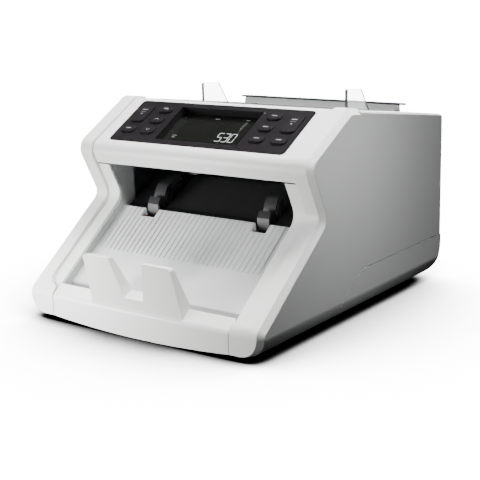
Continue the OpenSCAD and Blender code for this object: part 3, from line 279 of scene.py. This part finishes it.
# Radii that moulds leave on sharp edges, in millimetres, and the steps that draw them
SEAM_ROUND, SEAM_STEPS = 0.9, 4
SHELL_ROUND, SHELL_STEPS = 0.6, 3
SIDE_ROUND = 0.5
LINING_ROUND = 0.4
SMALL_ROUND = 0.3

# Planes across the object where the white mouldings meet: the pocket's front, the console, and
# the frames beside them
SEAM_PLANES = (94.0 * MM, 94.15 * MM, 106.7 * MM, 107.0 * MM)
ON_SEAM = 0.02 * MM
OPEN_TO_VIEW = 0.3

# How squarely a face has to point for the finish of a guide's broad side, or of the panel's front
BROAD_SIDE = 0.9
# Panel faces that point less squarely than this take the near-black painted shade
PANEL_FRONT = 0.985

SHAFT_RADIUS = 4.0 * MM
SHAFT_MARGIN = 0.2 * MM
CHASSIS_HALF = 97.0 * MM


def add_object(name, data):
    """An object at the origin."""
    made = bpy.data.objects.new(name, data)
    bpy.context.scene.collection.objects.link(made)
    return made


def mesh_of(name, bm):
    """Writes a bmesh to a new mesh and frees it."""
    mesh = bpy.data.meshes.new(name)
    bm.to_mesh(mesh)
    bm.free()
    return mesh


def finish_piece(name, bm, materials, body):
    """Turns a bmesh into an object that rides on a body, smooth except at sharp edges."""
    for face in bm.faces:
        face.smooth = True
    for edge in bm.edges:
        edge.smooth = len(edge.link_faces) == 2 and edge.calc_face_angle() < SHARP
    piece = add_object(name, mesh_of(name, bm))
    for material in materials:
        piece.data.materials.append(material)
    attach(piece, body)
    return piece


def body_of(node):
    """Name of the body that a CAD node rides on."""
    return frame["nodes"][node]["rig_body"]


def merged_copy(node):
    """A CAD node's mesh with its loose triangles merged into plain faces."""
    bm = bmesh.new()
    bm.from_mesh(frame["nodes"][node].data)
    bmesh.ops.remove_doubles(bm, verts=bm.verts, dist=WELD)
    bmesh.ops.dissolve_limit(
        bm, angle_limit=FLAT, verts=bm.verts, edges=bm.edges, use_dissolve_boundaries=False
    )
    return bm


def round_edges(bm, edge_mm, steps, wanted=None):
    """Rounds the sharp edges as far as the narrowest place allows, or fully those a test picks."""
    sharp = [e for e in bm.edges if len(e.link_faces) == 2 and e.calc_face_angle() > SHARP]
    if wanted:
        sharp = [e for e in sharp if wanted(e)]
    bmesh.ops.bevel(
        bm, geom=sharp, offset=edge_mm * MM, offset_type="OFFSET", affect="EDGES",
        segments=steps, profile=0.5, material=-1, clamp_overlap=not wanted,
    )


def stand_for(node, bm, materials, suffix="_moulded"):
    """Puts a finished copy in its CAD node's place."""
    piece = finish_piece(node + suffix, bm, materials, body_of(node))
    piece.modifiers.new("even_shading", "WEIGHTED_NORMAL").keep_sharp = True
    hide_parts(node)


def dressed(nodes, material, edge_mm, steps=2):
    """Copies of CAD nodes with their sharp edges rounded as a mould leaves them."""
    for node in nodes:
        bm = merged_copy(node)
        round_edges(bm, edge_mm, steps)
        stand_for(node, bm, [material])


def along_seam(edge):
    """Tells an outer edge of a joint between two white mouldings."""
    facing = sum((f.normal for f in edge.link_faces), Vector())
    on_plane = any(
        all(abs(abs(v.co.x) - plane) < ON_SEAM for v in edge.verts) for plane in SEAM_PLANES
    )
    seen = facing.y < -OPEN_TO_VIEW or facing.z > OPEN_TO_VIEW
    return on_plane and edge.is_convex and seen


def seamed(node):
    """A white moulding with a well rounded edge at its joints and crisp edges elsewhere."""
    bm = merged_copy(node)
    bm.normal_update()
    round_edges(bm, SEAM_ROUND, SEAM_STEPS, along_seam)
    round_edges(bm, SHELL_ROUND, SHELL_STEPS)
    stand_for(node, bm, [white_abs])


def clear_guide(node):
    """A guide with clear broad faces and grey edges."""
    bm = merged_copy(node)
    round_edges(bm, SMALL_ROUND, 2)
    bm.normal_update()
    for face in bm.faces:
        face.material_index = 0 if abs(face.normal.x) > BROAD_SIDE else 1
    stand_for(node, bm, [clear_acrylic, acrylic_edge])


def panel_moulding(node, material, edge_mm=0.0):
    """A piece of the control panel: its own finish on the raised faces that point squarely out, and a
    near-black matt painted shade on skirts, rounded edges and recesses.
    """
    bm = merged_copy(node)
    if edge_mm:
        round_edges(bm, edge_mm, 2)
    bm.normal_update()
    outwards = PANEL.to_3x3().col[2]
    # Every face that is not the front gets the near-black painted shade
    for face in bm.faces:
        raised = (INTO_PANEL @ face.calc_center_median()).z > 0
        front = raised and face.normal.dot(outwards) > PANEL_FRONT
        face.material_index = 0 if front else 1
    stand_for(node, bm, [material, painted_shade_abs])


def shaft_roller(node):
    """A roller with a steel shaft, rubber tyres and plastic pulleys, told apart by their place."""
    low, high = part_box(node)
    axis = (low + high) / 2
    bm = merged_copy(node)
    round_edges(bm, LINING_ROUND, 2)
    for face in bm.faces:
        reach = max(math.hypot(v.co.y - axis.y, v.co.z - axis.z) for v in face.verts)
        outside = abs(face.calc_center_median().x) > CHASSIS_HALF
        on_shaft = reach < SHAFT_RADIUS + SHAFT_MARGIN
        face.material_index = 0 if on_shaft else 2 if outside else 1
    stand_for(node, bm, [drawn_steel, tyre_rubber, acetal], "_fitted")


def painted(nodes, material):
    """CAD nodes that stay as they are, with a better finish."""
    for node in nodes:
        mesh = frame["nodes"][node].data
        mesh.materials.clear()
        mesh.materials.append(material)


for node in ("left_side_frame", "right_side_frame", "console_cover", "pocket_front"):
    seamed(node)
dressed(["rear_cover"], white_abs, SHELL_ROUND, SHELL_STEPS)
dressed(
    ["left_side_panel", "right_side_panel", "base_tray", "note_support"], grey_abs, SIDE_ROUND
)
dressed(["left_pocket_wall", "right_pocket_wall"], pocket_abs, LINING_ROUND)
dressed(["pocket_ramp"], ramp_abs, SMALL_ROUND)
panel_moulding("control_bezel", panel_abs)
dressed(["hopper_front", "hopper_plate", "thickness_knob"], hopper_abs, LINING_ROUND)
dressed(["support_lip", "mains_inlet"], black_abs, SMALL_ROUND)
dressed(["power_rocker"], rocker_abs, SMALL_ROUND)
dressed(["rubber_feet"], rubber_and_shade_black, SHELL_ROUND)
for node in ("left_guide", "right_guide"):
    clear_guide(node)
keys = [n for n in frame["nodes"] if n.startswith("key_") and n != "key_boards"]
for node in keys:
    panel_moulding(node, key_abs, SMALL_ROUND)
for node in (
    "pickup_roller", "feed_roller", "retard_roller", "rear_transport_roller",
    "front_transport_roller", "rear_pinch_roller", "front_pinch_roller", "stacker_shaft",
):
    shaft_roller(node)

painted(["display_window"], display_acrylic)
painted(
    ["stacker_wheels", "encoder_disc", "upper_note_guide", "lower_note_guide", "sensor_bars"],
    black_abs,
)
painted(["display_module", "key_boards", "main_board", "power_supply"], solder_mask)
painted(
    ["left_chassis_plate", "right_chassis_plate", "retard_bracket", "main_motor", "motor_pulley"],
    zinc_steel,
)
painted(["guide_rail", "tie_rods"], drawn_steel)
painted(["shaft_bearings"], bronze)
painted(["drive_belts"], rubber_and_shade_black)


# Screw recesses, and black strips of painted shade in the console's joints

# The cross in a screw's head, and how near the back a screw ends if its head is there
CROSS_ARM, CROSS_WIDTH, CROSS_DEPTH = 3.8 * MM, 0.9 * MM, 1.4 * MM
REAR_HEAD = 1.0 * MM

# Black strips of painted shadow in the joint under the console's lip, on both sides of the pocket
LIP_SHADOW_X, LIP_SHADOW_Y, LIP_SHADOW_Z = 100.4 * MM, -64.8 * MM, 124.8 * MM
LIP_SHADOW_SIZE = (12.4 * MM, 3.0 * MM, 1.0 * MM)

# Painted shade in the console's end joints: how far inside the console's outline it stays, and how
# far its two faces stand off the console's end
SEAM_SHADE_INSET, SEAM_SHADE_NEAR, SEAM_SHADE_FAR = 0.35 * MM, 0.03 * MM, 0.27 * MM
END_FACING = 0.99


def islands(bm):
    """The separate solids in a bmesh, each as a list of vertices."""
    seen = set()
    for start in bm.verts:
        if start in seen:
            continue
        seen.add(start)
        solid = [start]
        for vert in solid:
            for edge in vert.link_edges:
                other = edge.other_vert(vert)
                if other not in seen:
                    seen.add(other)
                    solid.append(other)
        yield solid


def add_box(bm, middle, size, turn=None):
    """A box of the given size, turned about its middle if asked."""
    made = bmesh.ops.create_cube(bm, size=1.0)["verts"]
    bmesh.ops.scale(bm, vec=size, verts=made)
    if turn:
        bmesh.ops.rotate(bm, matrix=turn, verts=made)
    bmesh.ops.translate(bm, vec=middle, verts=made)


def recessed_screws(node):
    """The housing screws with a cross recess in every head, at the back and underneath."""
    bm = merged_copy(node)
    back = max(v.co.y for v in bm.verts)
    cutter = bmesh.new()
    for solid in islands(bm):
        low = Vector([min(v.co[i] for v in solid) for i in range(3)])
        high = Vector([max(v.co[i] for v in solid) for i in range(3)])
        head = (low + high) / 2
        if high.y > back - REAR_HEAD:
            head.y = high.y
            add_box(cutter, head, (CROSS_ARM, CROSS_DEPTH, CROSS_WIDTH))
            add_box(cutter, head, (CROSS_WIDTH, CROSS_DEPTH, CROSS_ARM))
        else:
            head.z = low.z
            add_box(cutter, head, (CROSS_ARM, CROSS_WIDTH, CROSS_DEPTH))
            add_box(cutter, head, (CROSS_WIDTH, CROSS_ARM, CROSS_DEPTH))
    tool = add_object("cross_cutter", mesh_of("cross_cutter", cutter))
    piece = finish_piece(node + "_recessed", bm, [zinc_steel], body_of(node))
    cut = piece.modifiers.new("cross", "BOOLEAN")
    cut.object = tool
    cut.operation = "DIFFERENCE"
    cut.solver = "EXACT"
    cut.use_self = True
    cut_piece = piece.evaluated_get(bpy.context.evaluated_depsgraph_get())
    recessed = bpy.data.meshes.new_from_object(cut_piece)
    piece.modifiers.clear()
    piece.data = recessed
    bpy.data.objects.remove(tool)
    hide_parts(node)


def lip_seals():
    """The black strips of painted shadow under the console's lip."""
    bm = bmesh.new()
    for side in (-1, 1):
        add_box(bm, (side * LIP_SHADOW_X, LIP_SHADOW_Y, LIP_SHADOW_Z), LIP_SHADOW_SIZE)
    finish_piece("lip_seals", bm, [rubber_and_shade_black], "housing")


def console_gaskets():
    """Thin black sheets of painted shade in the joints between the console's ends and the side
    frames.
    """
    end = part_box("console_cover")[1].x
    bm = merged_copy("console_cover")
    bm.normal_update()
    ends = [
        f for f in bm.faces
        if abs(f.normal.x) > END_FACING and abs(f.calc_center_median().x) > end - SEAM_SHADE_NEAR
    ]
    bmesh.ops.inset_region(
        bm, faces=ends, thickness=SEAM_SHADE_INSET, use_boundary=True, use_even_offset=True
    )
    kept = set(ends)
    bmesh.ops.delete(bm, geom=[f for f in bm.faces if f not in kept], context="FACES")
    grown = bmesh.ops.extrude_face_region(bm, geom=bm.faces[:], use_keep_orig=True)["geom"]
    outer = {v for v in grown if isinstance(v, bmesh.types.BMVert)}
    for vert in bm.verts:
        vert.co.x += math.copysign(SEAM_SHADE_FAR if vert in outer else SEAM_SHADE_NEAR, vert.co.x)
    bmesh.ops.recalc_face_normals(bm, faces=bm.faces)
    finish_piece("console_gaskets", bm, [rubber_and_shade_black], "housing")


recessed_screws("housing_screws")
lip_seals()
console_gaskets()


# Printed symbols and lit segments, drawn in the panel's frame: x across, s up the slope, w outwards

PRINT_RISE = 0.06 * MM
DOT_SIDES = 24

# A seven-segment digit's width, stroke and the space between digits, as shares of its height, the
# gap between strokes as a share of the stroke, and the strokes of the digits that are shown
DIGIT_WIDTH, DIGIT_STROKE, DIGIT_PITCH = 0.47, 0.05, 0.59
STROKE_GAP = 0.25
STROKES = {"0": "abcdef", "1": "bc", "3": "abcdg", "5": "acdfg"}

# The count, the smaller digits stacked up the slope beside it with their places in millimetres,
# and the faint status marks with their places and widths in millimetres
COUNT, COUNT_HEIGHT = "530", 11.5 * MM
COUNT_X, COUNT_S = 12.8 * MM, 23.3 * MM
STACK, STACK_HEIGHT = (("1", 26.6, 33.4), ("0", 27.3, 38.2), ("0", 28.0, 43.0)), 4.2 * MM
STATUS_MARKS = ((-4.2, 47.4, 5.0), (27.7, 48.4, 4.0), (-34.8, 21.2, 5.0), (-34.8, 18.8, 3.4))
STATUS_HEIGHT = 0.6 * MM
LAMP_X, LAMP_S, LAMP_RADIUS = 45.5 * MM, 51.2 * MM, 0.8 * MM

# Key symbols: a bar in place of a caption, a bar, a rule and a dot on a tall key, and chevrons
CAPTION_BAR = (5.2 * MM, 0.9 * MM)
TALL_BAR, TALL_BAR_UP = (5.6 * MM, 0.9 * MM), 4.2 * MM
TALL_RULE, TALL_RULE_UP = (5.6 * MM, 0.25 * MM), 1.3 * MM
TALL_DOT_RADIUS, TALL_DOT_UP = 0.8 * MM, -1.8 * MM
CHEVRON_BAR, CHEVRON_ASIDE = (2.4 * MM, 0.45 * MM), 0.9 * MM
CHEVRON_TURN = math.radians(35)


def add_bar(bm, x, s, w, width, length, turn=0.0):
    """A thin printed bar centred at x, s on the level w."""
    middle, size = (x, s, w + PRINT_RISE / 2), (width, length, PRINT_RISE)
    add_box(bm, middle, size, Matrix.Rotation(turn, 3, "Z"))


def add_dot(bm, x, s, w, radius):
    """A thin printed dot centred at x, s on the level w."""
    made = bmesh.ops.create_cone(
        bm, cap_ends=True, segments=DOT_SIDES, radius1=radius, radius2=radius, depth=PRINT_RISE
    )["verts"]
    bmesh.ops.translate(bm, vec=(x, s, w + PRINT_RISE / 2), verts=made)


def add_digit(bm, digit, x, s, w, height):
    """A seven-segment digit centred at x, s on the level w."""
    half, wide, bar = height / 2, height * DIGIT_WIDTH, height * DIGIT_STROKE
    gap = bar * STROKE_GAP
    flat, tall = wide - bar - 2 * gap, half - bar - 2 * gap
    side, edge = wide / 2 - bar / 2, half - bar / 2
    places = {
        "a": (0, edge, flat, bar), "g": (0, 0, flat, bar), "d": (0, -edge, flat, bar),
        "f": (-side, half / 2, bar, tall), "b": (side, half / 2, bar, tall),
        "e": (-side, -half / 2, bar, tall), "c": (side, -half / 2, bar, tall),
    }
    for stroke in STROKES[digit]:
        dx, ds, width, length = places[stroke]
        add_bar(bm, x + dx, s + ds, w, width, length)


def panel_piece(name, bm, material, body):
    """A piece that was drawn in the panel's frame, put in its place."""
    bmesh.ops.transform(bm, matrix=PANEL, verts=bm.verts)
    finish_piece(name, bm, [material], body)


def on_panel(node):
    """Middle of a node in the panel's frame, as x and s."""
    low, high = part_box(node)
    middle = INTO_PANEL @ ((low + high) / 2)
    return middle.x, middle.y


def display_segments():
    """Everything that is lit behind the display window, and the lamp beside it."""
    lit = bmesh.new()
    for column, digit in enumerate(COUNT):
        x = COUNT_X + column * DIGIT_PITCH * COUNT_HEIGHT
        add_digit(lit, digit, x, COUNT_S, -DISPLAY_DEPTH, COUNT_HEIGHT)
    panel_piece("display_digits", lit, segment_glow, "housing")
    dim = bmesh.new()
    for digit, x, s in STACK:
        add_digit(dim, digit, x * MM, s * MM, -DISPLAY_DEPTH, STACK_HEIGHT)
    for x, s, width in STATUS_MARKS:
        add_bar(dim, x * MM, s * MM, -DISPLAY_DEPTH, width * MM, STATUS_HEIGHT)
    panel_piece("display_marks", dim, dim_glow, "housing")
    lamp = bmesh.new()
    add_dot(lamp, LAMP_X, LAMP_S, PANEL_PROUD, LAMP_RADIUS)
    panel_piece("status_lamp", lamp, lamp_lens, "housing")


def key_symbol(node):
    """The symbol on a key: a chevron, or plain bars in place of a caption."""
    x, s = on_panel(node)
    ink = bmesh.new()
    if node.endswith(("_up", "_down")):
        way = 1 if node.endswith("_up") else -1
        for side in (-1, 1):
            turn = -side * way * CHEVRON_TURN
            add_bar(ink, x + side * CHEVRON_ASIDE, s, KEY_RISE, *CHEVRON_BAR, turn)
    elif node.endswith("_tall"):
        add_bar(ink, x, s + TALL_BAR_UP, KEY_RISE, *TALL_BAR)
        add_bar(ink, x, s + TALL_RULE_UP, KEY_RISE, *TALL_RULE)
        add_dot(ink, x, s + TALL_DOT_UP, KEY_RISE, TALL_DOT_RADIUS)
    else:
        add_bar(ink, x, s, KEY_RISE, *CAPTION_BAR)
    panel_piece(node + "_symbol", ink, symbol_ink, body_of(node))


display_segments()
for node in keys:
    key_symbol(node)


# Floor, light and camera

# The sweep is a bright white glow with a painted shadow: it darkens where the object shuts the light
# out. Its normal leans to the rear, so the painted shadow is deeper in front.
SWEEP_SIZE = 20.0
SWEEP_GLOW = 16.0
SWEEP_REACH = 0.3
SWEEP_FALL = 2.5
SWEEP_SHUT, SWEEP_OPEN = 0.3, 0.88
SWEEP_TILT = Vector((0, 0.3, 1)).normalized()
SWEEP_SAMPLES = 32

middle = (cad_low + cad_high) / 2
# Each light's place, target, width, power in watts and spread in degrees
LIGHTS = {
    "overhead_softbox": ((0.17, 0.38, 1.47), middle, 0.65, 89, 180),
    "left_softbox": ((-0.9, -0.5, 1.6), middle, 1.0, 9.8, 180),
    "near_left_card": ((-0.3, -0.3, 0.08), (-0.05, -0.08, 0.08), 0.15, 0.24, 180),
    "low_left_card": ((-0.2, -0.35, 0.03), (-0.08, -0.15, 0.02), 0.12, 1.0, 100),
    "low_front_card": ((0, -0.6, 0.05), (0, -0.14, 0.03), 0.2, 0.15, 60),
    "side_spot": ((0.9, -0.3, 0.6), (0.124, -0.04, 0.19), 0.12, 0.15, 20),
    "floor_bounce": ((0.32, 0.0, 0.012), (0.124, 0.0, 0.02), 0.2, 0.022, 120),
    "rear_fill": ((-0.5, 1.3, 0.6), middle, 0.8, 12, 180),
    "left_fill": ((-1.3, 0.1, 0.5), middle, 0.7, 8, 180),
}

CAMERA_PLACE = Vector((564.7, -760.05, 285.1)) * MM
CAMERA_AZIMUTH = math.radians(36.6)
CAMERA_ELEVATION = math.radians(13.81)
CAMERA_ROLL = math.radians(-1.51)
CAMERA_LENS, CAMERA_SENSOR = 80.9, 36


def sweep_floor():
    """A large white floor that only the camera sees, with a painted shadow towards the object's foot.
    """
    bm = bmesh.new()
    bmesh.ops.create_grid(bm, x_segments=1, y_segments=1, size=SWEEP_SIZE)
    floor = add_object("floor", mesh_of("floor", bm))
    material, tree, principled = new_material("pale_studio_sweep")
    principled.inputs["Base Color"].default_value = srgb("#000000")
    principled.inputs["Specular IOR Level"].default_value = 0.0
    principled.inputs["Emission Color"].default_value = srgb("#ffffff")
    tilt = add_node(tree, "ShaderNodeCombineXYZ", None, dict(zip("XYZ", SWEEP_TILT)))
    shade = add_node(
        tree, "ShaderNodeAmbientOcclusion", {"samples": SWEEP_SAMPLES},
        {"Distance": SWEEP_REACH}, {"Normal": tilt.outputs["Vector"]},
    )
    open_sky = add_node(
        tree, "ShaderNodeMapRange", None,
        {"From Min": SWEEP_SHUT, "From Max": SWEEP_OPEN, "To Max": SWEEP_GLOW ** (1 / SWEEP_FALL)},
        {"Value": shade.outputs["AO"]},
    )
    glow = add_node(
        tree, "ShaderNodeMath", {"operation": "POWER"}, {1: SWEEP_FALL},
        {0: open_sky.outputs["Result"]},
    )
    tree.links.new(glow.outputs["Value"], principled.inputs["Emission Strength"])
    floor.data.materials.append(material)
    floor.visible_diffuse = False
    floor.visible_glossy = False


def area_light(name, place, target, width, power, spread):
    """A square light that the camera doesn't see, turned to its target."""
    data = bpy.data.lights.new(name, "AREA")
    data.size = width
    data.energy = power
    data.spread = math.radians(spread)
    light = add_object(name, data)
    light.location = place
    light.rotation_mode = "QUATERNION"
    light.rotation_quaternion = (Vector(target) - Vector(place)).to_track_quat("-Z", "Y")
    light.visible_camera = False


def studio_world():
    """A white surround that only the camera sees, as bright as the sweep."""
    world = bpy.data.worlds.new("studio")
    bpy.context.scene.world = world
    world.use_nodes = True
    background = world.node_tree.nodes["Background"]
    background.inputs["Color"].default_value = srgb("#ffffff")
    background.inputs["Strength"].default_value = SWEEP_GLOW
    world.cycles_visibility.diffuse = False
    world.cycles_visibility.glossy = False


def photo_camera():
    """The camera at the photograph's viewing angle."""
    data = bpy.data.cameras.new("camera")
    data.lens = CAMERA_LENS
    data.sensor_width = CAMERA_SENSOR
    camera = add_object("camera", data)
    camera.matrix_world = (
        Matrix.Translation(CAMERA_PLACE)
        @ Matrix.Rotation(CAMERA_AZIMUTH, 4, "Z")
        @ Matrix.Rotation(math.pi / 2 - CAMERA_ELEVATION, 4, "X")
        @ Matrix.Rotation(CAMERA_ROLL, 4, "Z")
    )
    bpy.context.scene.camera = camera


sweep_floor()
for name, settings in LIGHTS.items():
    area_light(name, *settings)
studio_world()
photo_camera()
